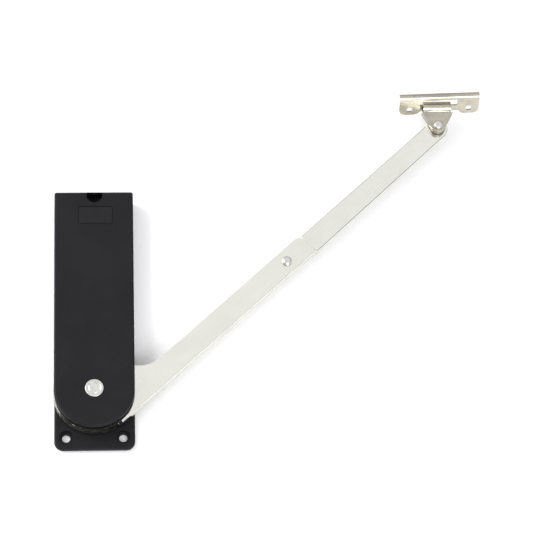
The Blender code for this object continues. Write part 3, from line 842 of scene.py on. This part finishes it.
@dataclass
class Rivet:
    """A headed rivet: a foot, a shank and a head above, round an upright axis."""

    name: str
    foot: tuple[float, float]
    head: tuple[float, float]
    foot_radius: float
    head_radius: float
    shank: float
    overlap: float = 0.1
    foot_edge: float = 0.3

    def build(self, dome: float) -> bpy.types.Object:
        """Make the rivet.

        Args:
            dome: How far the head is rounded over.

        Returns:
            The rivet about its own axis.
        """
        made = disc(self.name, 0.0, 0.0, self.head_radius, *self.head, sides=64)
        round_edges(made, dome, 8, level(2, self.head[1]))
        low, high = self.foot[1] - self.overlap, self.head[0] + self.overlap
        work(made, disc("shank", 0.0, 0.0, self.shank, low, high, 48), Join.FUSE)
        foot = disc("foot", 0.0, 0.0, self.foot_radius, *self.foot, sides=64)
        round_edges(foot, min(self.foot_edge, dome), 3, level(2, self.foot[0]))
        work(made, foot, Join.FUSE)
        return made


@dataclass
class Pivot(Assembly):
    """The big rivet that the main arm turns on."""

    head_radius: float = 5.65
    pin_radius: float = 3.4
    shank: float = 4.0
    sink: float = 1.2
    height: float = 18.0
    ring: float = 1.7
    well: float = 0.3
    head_below: float = 0.02
    foot_above: float = 0.05
    head_edge: float = 0.3
    peen_slope: float = 0.2
    peen_below: float = 0.03
    edge: float = 0.08

    def build(self) -> None:
        """Make the pivot rivet, its peened pin standing in a well inside the ring."""
        head = (self.height - self.sink + CLEARANCE, self.height - self.head_below)
        foot = (self.foot_above, self.sink - CLEARANCE)
        radius = self.head_radius
        made = Rivet("pivot_rivet_headed", foot, head, radius, radius, self.shank).build(self.head_edge)
        floor = head[1] - self.well
        well = disc("well", 0.0, 0.0, radius - self.ring, floor, head[1] + PAST, 96)
        choose(well, Part.FACES, level(2, floor))
        bpy.ops.mesh.inset(thickness=(radius - self.ring - self.pin_radius) * MM)
        bpy.ops.mesh.inset(thickness=self.peen_slope * MM)
        bpy.ops.transform.translate(value=(0.0, 0.0, (self.well - self.peen_below) * MM))
        done()
        work(made, well, Join.CUT)
        soften(made, self.edge)
        place = turned_place(0.0, 0.0, 0.0, 0.0)
        self.hand_over(settle(made, place), RIVET_NICKEL, "housing", ["pivot_rivet"], "nickel_rivets")


@dataclass
class MainArm(Assembly):
    """The folded arm: two plates joined by a fold along the outer edge, growing out of a round root."""

    low: float = 5.5
    high: float = 12.5
    sheet: float = 1.2
    outer: float = 26.2
    width: float = 14.6
    length: float = 163.5
    root: float = 25.2
    fillet_start: float = 44.0
    fold_start: float = -1.0
    fold_radius: float = 1.3
    end_corner: float = 4.0
    bush: float = 6.0
    cam_ring: float = 11.0
    cam_turns: tuple[float, float, float] = (35.0, 85.0, 135.0)
    cam_hole: float = 1.8
    elbow_hole: float = 2.3
    wedge_start: float = 8.0
    wedge_bite: float = 3.0
    inner_fold: float = 0.5
    edge: float = 0.4
    rivet_foot: float = 1.2
    rivet_head: tuple[float, float] = (3.0, 1.9)
    rivet_shank: float = 2.0
    rivet_dome: float = 1.5

    def build(self) -> None:
        """Make the arm and its elbow rivet."""
        inner = self.outer - self.width
        start, end = (self.fold_start, -self.outer, self.low), (self.length, -inner, self.high)
        strip = block("main_arm_folded", start, end)
        self.shape_strip(strip, -inner)
        radius = (self.fillet_start**2 + inner**2 - self.root**2) / (2.0 * (self.root + inner))
        centre_y = -(inner - radius)
        meet = math.atan2(centre_y, self.fillet_start)
        meet_y = self.root * math.sin(meet)
        corner = (self.wedge_start, -inner - self.wedge_bite, self.low)
        wedge = block("wedge", corner, (self.fillet_start, meet_y, self.high))
        work(wedge, disc("fillet", self.fillet_start, centre_y, radius, *THROUGH, 160), Join.CUT)
        root = disc("root", 0.0, 0.0, self.root, self.low, self.high, 160)
        work(root, wedge, Join.FUSE)
        work(strip, root, Join.FUSE)
        room = block(
            "room",
            (-self.root - PAST, -self.outer + self.sheet, self.low + self.sheet),
            (self.length + PAST, self.root + PAST, self.high - self.sheet),
        )
        face = -self.outer + self.sheet
        round_edges(room, self.inner_fold, 3, lambda c: level(1, face)(c) and not upright(c))
        work(strip, room, Join.CUT)
        work(strip, disc("bush_hole", 0.0, 0.0, self.bush, *THROUGH, 64), Join.CUT)
        work(strip, disc("elbow_hole", ELBOW_ALONG, -ELBOW_ACROSS, self.elbow_hole, *THROUGH, 40), Join.CUT)
        for turn in self.cam_turns:
            x, y = along((0.0, 0.0), self.cam_ring, 90.0 + turn - ARM_ANGLE)
            work(strip, disc("cam_rivet_hole", x, y, self.cam_hole, *THROUGH, 32), Join.CUT)
        soften(strip, self.edge, 4, SMOOTH_BELOW)
        place = turned_place(0.0, 0.0, 0.0, ARM_ANGLE)
        self.hand_over(settle(strip, place), ARM_NICKEL, "main_arm", ["main_arm"], "nickel_arm")
        low, high = self.low - CLEARANCE, self.high + CLEARANCE
        radius, rise = self.rivet_head
        foot, head = (low - self.rivet_foot, low), (high, high + rise)
        rivet = Rivet("elbow_rivet_domed", foot, head, radius, radius, self.rivet_shank)
        rivet = rivet.build(self.rivet_dome)
        soften(rivet, 0.0)
        place = turned_place(*ELBOW, 0.0, 0.0)
        self.hand_over(settle(rivet, place), RIVET_NICKEL, "main_arm", ["elbow_rivet"], "nickel_rivets")

    def shape_strip(self, strip: bpy.types.Object, open_edge: float) -> None:
        """Round the fold and the free corner of the strip's end.

        Args:
            strip: The strip's blank.
            open_edge: Where its open edge lies.
        """
        round_edges(
            strip,
            self.fold_radius,
            6,
            lambda c: level(1, -self.outer)(c) and (level(2, self.low)(c) or level(2, self.high)(c)),
        )
        round_edges(
            strip,
            self.end_corner,
            8,
            lambda c: upright(c) and level(1, open_edge)(c) and level(0, self.length)(c),
        )


@dataclass
class LinkArm(Assembly):
    """The link: a channel open below, round at its far end, with a tongue that goes into the main arm."""

    low: float = 7.0
    high: float = 10.9
    sheet: float = 1.3
    shoulder: float = 18.7
    near: tuple[float, float] = (-8.0, 7.0)
    far: tuple[float, float] = (-6.95, 6.85)
    fold_radius: float = 1.6
    tongue: float = 5.0
    bite: float = 0.05
    tongue_shy: float = 0.02
    tongue_overlap: float = 4.0
    round_shy: float = 0.05
    least_fold: float = 0.3
    hollow_ahead: float = 3.0
    hollow_below: float = 2.0
    edge: float = 0.14
    hole: float = 2.3

    def body(self, name: str, inset: float, start: float, low: float, high: float) -> bpy.types.Object:
        """Make the channel's outside, or its hollow, as a solid with a round end and round folds.

        Args:
            name: Name of the piece.
            inset: How far in from the channel's sides.
            start: Where it starts, along the link.
            low: Lower face.
            high: Upper face.

        Returns:
            The solid.
        """
        end_radius = (self.far[1] - self.far[0]) / 2 - inset
        end = LINK_LENGTH + end_radius
        near = (self.near[0] + inset, self.near[1] - inset)
        far = (self.far[0] + inset, self.far[1] - inset)
        made = block(name, (start, near[0], low), (end, near[1], high))
        for here, there in zip(near, far):
            choose(made, Part.VERTS, lambda c: level(0, end)(c) and level(1, here)(c))
            bpy.ops.transform.translate(value=(0.0, (there - here) * MM, 0.0))
            done()
        round_edges(made, end_radius - self.round_shy, 18, lambda c: upright(c) and level(0, end)(c))
        fold = max(self.fold_radius - inset, self.least_fold)
        round_edges(made, fold, 5, lambda c: level(2, high)(c) and not level(0, start)(c))
        return made

    def build(self) -> None:
        """Make the link."""
        channel = self.body("link_channel", 0.0, self.shoulder, self.low, self.high)
        start, low = self.shoulder - self.hollow_ahead, self.low - self.hollow_below
        hollow = self.body("hollow", self.sheet, start, low, self.high - self.sheet)
        work(channel, hollow, Join.CUT)
        tongue = block(
            "tongue",
            (-self.tongue, -self.tongue, self.high - self.sheet + self.bite),
            (self.shoulder + self.tongue_overlap, self.tongue, self.high - self.bite),
        )
        nose = self.tongue - self.tongue_shy
        round_edges(tongue, nose, 14, lambda c: upright(c) and level(0, -self.tongue)(c))
        soften(channel, self.edge, angle=SMOOTH_BELOW)
        work(channel, tongue, Join.FUSE)
        for x, y in ((0.0, 0.0), (LINK_LENGTH, 0.0)):
            work(channel, disc("rivet_hole", x, y, self.hole, *THROUGH, 40), Join.CUT)
        soften(channel, 0.0)
        place = turned_place(*ELBOW, 0.0, LINK_ANGLE)
        self.hand_over(settle(channel, place), LINK_NICKEL, "link_arm", ["link_arm"], "nickel_arm")


@dataclass
class Strap(Assembly):
    """The strap: sheet folded round the bracket's web, its two ends together on the link's rivet."""

    sheet: float = 1.5
    seam: float = 0.5
    nose: float = 4.5
    ear: float = 20.4
    loop: float = 17.6
    loop_radius: float = 3.3
    flare: float = 2.0
    nose_ahead: float = 0.02
    nose_steps: int = 14
    straight_steps: int = 6
    flare_steps: int = 5
    loop_steps: int = 18
    least_half: float = 0.35
    hole: float = 2.3
    edge: float = 0.16
    break_above: float = 50.0
    rivet_foot: float = 1.2
    rivet_head: tuple[float, float] = (2.9, 1.6)
    rivet_shank: float = 2.0
    rivet_dome: float = 1.3

    def layer(self) -> float:
        """Height of each layer's middle from the strap's middle."""
        return (self.seam + self.sheet) / 2

    def middle_line(self) -> list[tuple[float, float]]:
        """Draw the folded sheet's middle line, from its lower end round the loop to its upper end.

        Returns:
            Points as distance from the rivet and height.
        """
        layer = self.layer()
        reach = self.loop_radius + self.flare
        flare_at = STRAP_REACH - math.sqrt(reach**2 - (layer + self.flare) ** 2)
        open_angle = math.degrees(math.atan2(layer + self.flare, STRAP_REACH - flare_at))
        half: list[tuple[float, float]] = []
        for step in range(self.nose_steps + 1):
            turn = math.radians(90.0 * step / self.nose_steps)
            half.append((-self.nose * math.cos(turn) - self.nose_ahead, layer))
        for step in range(1, self.straight_steps):
            half.append((flare_at * step / self.straight_steps, layer))
        for step in range(self.flare_steps + 1):
            turn = math.radians(-90.0 + (90.0 - open_angle) * step / self.flare_steps)
            height = layer + self.flare + self.flare * math.sin(turn)
            half.append((flare_at + self.flare * math.cos(turn), height))
        for step in range(1, self.loop_steps + 1):
            turn = math.radians(180.0 - open_angle - (180.0 - open_angle) * step / self.loop_steps)
            half.append((STRAP_REACH + self.loop_radius * math.cos(turn), self.loop_radius * math.sin(turn)))
        lower = [(x, -z) for x, z in half]
        return lower + half[-2::-1]

    def half_width(self, x: float) -> float:
        """How far the strap reaches to each side at a distance from the rivet.

        Args:
            x: Distance from the rivet, towards the bracket.

        Returns:
            Half the width.
        """
        bend = STRAP_REACH - self.loop_radius - self.sheet / 2
        wide = self.ear / 2
        if x >= bend:
            return self.loop / 2
        leave = math.atan2(wide, bend) + math.acos(self.nose / math.hypot(bend, wide))
        leave_x, leave_w = self.nose * math.cos(leave), self.nose * math.sin(leave)
        if x < leave_x:
            return max(math.sqrt(max(self.nose**2 - x**2, 0.0)), self.least_half)
        return leave_w + (wide - leave_w) * (x - leave_x) / (bend - leave_x)

    def build(self) -> None:
        """Make the strap and the rivet through it."""
        points = self.middle_line()
        widths = [self.half_width(x) for x, _ in points]
        deselect_all()
        bpy.ops.mesh.primitive_plane_add(size=2.0 * MM, location=(0.0, 0.0, 0.0))
        strap = bpy.context.active_object
        strap.name = "hinge_strap_folded"
        choose(strap, Part.VERTS, lambda c: c[0][0] > 0.5)
        bpy.ops.mesh.delete(type="VERT")
        bpy.ops.mesh.select_all(action="SELECT")
        bpy.ops.transform.resize(value=(1.0, widths[0], 1.0), center_override=(0.0, 0.0, 0.0))
        start = Vector((points[0][0] + 1.0, 0.0, points[0][1])) * MM
        bpy.ops.transform.translate(value=start)
        bpy.ops.mesh.select_mode(type="EDGE")
        bpy.ops.mesh.select_all(action="SELECT")
        for last, new, was, now in zip(points, points[1:], widths, widths[1:]):
            step = ((new[0] - last[0]) * MM, 0.0, (new[1] - last[1]) * MM)
            bpy.ops.mesh.extrude_region_move(TRANSFORM_OT_translate={"value": step})
            ratio = now / was
            bpy.ops.transform.resize(value=(1.0, ratio, 1.0), center_override=(0.0, 0.0, 0.0))
        done()
        thicken(strap, self.sheet)
        for low, high in ((-PAST, 0.0), (0.0, PAST)):
            work(strap, disc("rivet_hole", 0.0, 0.0, self.hole, low, high, 40), Join.CUT)
        soften(strap, self.edge, angle=self.break_above)
        place = turned_place(*EAR, STRAP_HEIGHT, STRAP_ANGLE)
        self.hand_over(settle(strap, place), FORMED_NICKEL_PAINTED_SHADE, "hinge_strap", ["hinge_strap"], "nickel_bracket")
        low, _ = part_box("link_rivet")
        foot = (low[2] / MM, low[2] / MM + self.rivet_foot)
        seat = STRAP_HEIGHT + self.layer() + self.sheet / 2 + CLEARANCE
        radius, rise = self.rivet_head
        head = (seat, seat + rise)
        rivet = Rivet("link_rivet_domed", foot, head, radius, radius, self.rivet_shank).build(self.rivet_dome)
        soften(rivet, 0.0)
        place = turned_place(*EAR, 0.0, 0.0)
        self.hand_over(settle(rivet, place), RIVET_NICKEL, "link_arm", ["link_rivet"], "nickel_rivets")


@dataclass
class Bracket(Assembly):
    """The slotted angle bracket: a face with two screw lobes, a slot for the strap and a short bent lip."""

    length: float = 51.4
    sheet: float = 1.4
    ridge: float = 9.9
    web: float = 4.2
    slot: tuple[float, float] = (23.2, 4.9)
    lobe: float = 4.3
    lobe_inner: float = 16.6
    notch: float = 12.6
    spacing: float = 38.2
    drop: float = 0.5
    hole: float = 2.0
    lip: float = 3.6
    bend: float = 1.3
    slot_corner: float = 0.8
    step: float = 0.05
    edge: float = 0.16

    def build(self) -> None:
        """Make the bracket."""
        half, thick = self.length / 2, self.sheet / 2
        foot = -self.drop - self.lobe
        line = self.ridge - thick
        deselect_all()
        bpy.ops.mesh.primitive_plane_add(size=1.0 * MM, location=(0.0, 0.0, 0.0))
        made = bpy.context.active_object
        made.name = "wall_bracket_bent"
        choose(made, Part.VERTS, lambda c: True)
        bpy.ops.transform.resize(value=(self.length, line - foot, 1.0), center_override=(0.0, 0.0, 0.0))
        bpy.ops.transform.translate(value=(0.0, (line + foot) / 2 * MM, 0.0))
        done()
        choose(made, Part.EDGES, level(1, line))
        reach = (self.lip - thick) * MM
        bpy.ops.mesh.extrude_region_move(TRANSFORM_OT_translate={"value": (0.0, 0.0, -reach)})
        done()
        round_edges(made, self.bend, 6, lambda c: level(1, line)(c) and level(2, 0.0)(c))
        thicken(made, self.sheet)
        notch = block("notch", (-self.notch, foot - PAST, -PAST), (self.notch, -self.web / 2, PAST))
        work(made, notch, Join.CUT)
        for side in (-1, 1):
            for x, beyond, top in (
                (half - self.lobe, half + PAST, foot + self.lobe),
                (self.lobe_inner, self.notch - PAST, -self.web / 2 - self.step),
            ):
                low, high = sorted((side * x, side * beyond))
                corner = block("corner", (low, foot - PAST, -PAST), (high, top, PAST))
                lobe = disc("lobe", side * x, foot + self.lobe, self.lobe, -2.0 * PAST, 2.0 * PAST, 72)
                work(corner, lobe, Join.CUT)
                work(made, corner, Join.CUT)
        wide, deep = self.slot
        slot = block("slot", (-wide / 2, self.web / 2, -PAST), (wide / 2, self.web / 2 + deep, PAST))
        round_edges(slot, self.slot_corner, 5, upright)
        work(made, slot, Join.CUT)
        for side in (-1, 1):
            x = side * self.spacing / 2
            work(made, disc("screw_hole", x, -self.drop, self.hole, -PAST, PAST, 48), Join.CUT)
        soften(made, self.edge, angle=SMOOTH_BELOW)
        middle_place = turned_place(WEB[0] + BRACKET_SHIFT, WEB[1], STRAP_HEIGHT, BRACKET_TURN)
        place = middle_place @ Matrix.Rotation(math.radians(BRACKET_SLOPE), 4, "X")
        self.hand_over(settle(made, place), FORMED_NICKEL_PAINTED_SHADE, "wall_bracket", ["wall_bracket"], "nickel_bracket")


@dataclass
class Springs(Assembly):
    """The two closing springs, coiled round the guide rods."""

    x: float = 13.0
    front: float = 33.95
    back: float = 107.05
    height: float = 9.25
    radius: float = 3.75
    wire: float = 0.65
    turns: int = 13
    wire_sides: int = 10
    steps: int = 28
    smooth_below: float = 50.0
    pressed: float = 0.864

    def build(self) -> None:
        """Coil one spring, and copy it for the other side."""
        deselect_all()
        at = (self.radius * MM, 0.0, 0.0)
        bpy.ops.mesh.primitive_circle_add(vertices=self.wire_sides, radius=self.wire * MM, location=at)
        first = bpy.context.active_object
        first.name = "closing_spring_coil_right"
        bpy.ops.object.transform_apply(location=True, rotation=True, scale=True)
        coil = first.modifiers.new("coil", "SCREW")
        coil.axis = "Y"
        coil.angle = math.tau
        coil.screw_offset = (self.back - self.front) / self.turns * MM
        coil.iterations = self.turns
        coil.steps = self.steps
        coil.render_steps = self.steps
        coil.use_merge_vertices = False
        bpy.ops.object.modifier_apply(modifier=coil.name)
        choose(first, Part.EDGES, lambda c: False)
        bpy.ops.mesh.select_non_manifold(extend=False, use_boundary=True)
        bpy.ops.mesh.edge_face_add()
        done()
        tidy_skin(first)
        pick(first)
        bpy.ops.object.shade_smooth_by_angle(angle=math.radians(self.smooth_below))
        second = first.copy()
        second.data = first.data.copy()
        second.name = "closing_spring_coil_left"
        bpy.context.scene.collection.objects.link(second)
        for piece, side, cad in ((first, 1, "closing_spring_right"), (second, -1, "closing_spring_left")):
            settle(piece, turned_place(side * self.x, self.front, self.height, 0.0))
            self.hand_over(piece, SPRING_STEEL, "housing", [cad], "spring_steel")
            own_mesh(piece)


@dataclass
class Works:
    """The pieces inside that keep their CAD shapes."""

    finishes: dict[str, Finish] = field(default_factory=lambda: dict(INSIDE_FINISHES))

    def dress(self, nodes: dict[str, bpy.types.Object]) -> None:
        """Give each kept piece its finish.

        Args:
            nodes: The frame's nodes by name.
        """
        for name, finish in self.finishes.items():
            piece = nodes[name]
            material = ready(finish)
            if piece.data.materials:
                for index in range(len(piece.data.materials)):
                    piece.data.materials[index] = material
            else:
                piece.data.materials.append(material)
            LOG.info("dressed %s as %s", name, finish.name)


@dataclass
class Studio:
    """A plain white bench, soft lights, a sky and the camera."""

    camera_place: Point = (0.015311, -0.580581, 1.461157)
    elevation: float = 66.805
    azimuth: float = 8.495
    roll: float = 7.397
    lens: float = 171.2
    sensor: float = 36.0
    floor_size: float = 6.0
    floor_place: Point = (0.1, 0.0, -0.0004)
    aim: Point = (0.1, 0.05, 0.0)
    far_clip: float = 20.0

    def build(self) -> None:
        """Set out the floor, the lights and the camera."""
        self.floor()
        self.lights()
        self.camera()

    def floor(self) -> None:
        """Lay the pale floor."""
        deselect_all()
        bpy.ops.mesh.primitive_plane_add(size=self.floor_size, location=self.floor_place)
        bench = bpy.context.active_object
        bench.name = "bench"
        bpy.ops.object.transform_apply(location=True, rotation=True, scale=True)
        bench.data.materials.append(ready(BENCH_PAPER))

    def lights(self) -> None:
        """Hang two soft lights, and fill from a sky that darkens towards its edge."""
        scene = bpy.context.scene
        world = bpy.data.worlds.new("studio")
        scene.world = world
        world.use_nodes = True
        tree = world.node_tree
        tree.nodes.clear()
        way = node(tree, "ShaderNodeTexCoord").outputs["Generated"]
        height = node(tree, "ShaderNodeSeparateXYZ", {}, {"Vector": way}).outputs["Z"]
        rise = node(
            tree,
            "ShaderNodeMapRange",
            {"interpolation_type": "SMOOTHSTEP"},
            {"Value": height, "From Min": 0.12, "From Max": 0.52, "To Min": 0.1, "To Max": 1.02},
        )
        sky = node(
            tree, "ShaderNodeBackground", {}, {"Color": linear("FDFDFF"), "Strength": rise.outputs["Result"]}
        )
        node(tree, "ShaderNodeOutputWorld", {}, {"Surface": sky.outputs["Background"]})
        for name, place, size, power in (
            ("soft_left", (-0.9, 0.35, 0.9), 0.8, 16.0),
            ("soft_front", (0.5, -1.1, 1.0), 0.9, 12.0),
        ):
            light = bpy.data.lights.new(name, "AREA")
            light.shape = "SQUARE"
            light.size = size
            light.energy = power
            lamp = bpy.data.objects.new(name, light)
            scene.collection.objects.link(lamp)
            aim = Vector(self.aim) - Vector(place)
            lamp.matrix_world = Matrix.Translation(place) @ aim.to_track_quat("-Z", "Y").to_matrix().to_4x4()
        scene.view_settings.view_transform = "Standard"
        scene.view_settings.look = "None"

    def camera(self) -> None:
        """Put up the camera."""
        high, turn, tilt = (math.radians(value) for value in (self.elevation, self.azimuth, self.roll))
        ahead = Vector((math.sin(turn) * math.cos(high), math.cos(turn) * math.cos(high), -math.sin(high)))
        side = Vector((math.cos(turn), -math.sin(turn), 0.0))
        above = side.cross(ahead)
        right = side * math.cos(tilt) + above * math.sin(tilt)
        top = above * math.cos(tilt) - side * math.sin(tilt)
        lens = bpy.data.cameras.new("camera")
        lens.lens = self.lens
        lens.sensor_width = self.sensor
        lens.clip_end = self.far_clip
        camera = bpy.data.objects.new("camera", lens)
        bpy.context.scene.collection.objects.link(camera)
        turned = Matrix((right, top, -ahead)).transposed().to_4x4()
        camera.matrix_world = Matrix.Translation(self.camera_place) @ turned
        bpy.context.scene.camera = camera


def corners(box: Iterable[Iterable[float]]) -> list[list[float]]:
    """Write a box as plain lists.

    Args:
        box: Its lowest and highest corner.

    Returns:
        The same as lists of numbers.
    """
    return [[float(value) for value in corner] for corner in box]


def main() -> None:
    """Build the looks round the frame, one sub-assembly after another."""
    logging.basicConfig(level=logging.INFO, format="%(name)s: %(message)s")
    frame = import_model()
    for assembly in (Housing(), Pivot(), MainArm(), LinkArm(), Strap(), Bracket(), Springs()):
        assembly.build()
        LOG.info("finished %s: %d pieces", type(assembly).__name__, len(assembly.pieces))
    Works().dress(frame["nodes"])
    Studio().build()
    deselect_all()


if __name__ == "__main__":
    main()
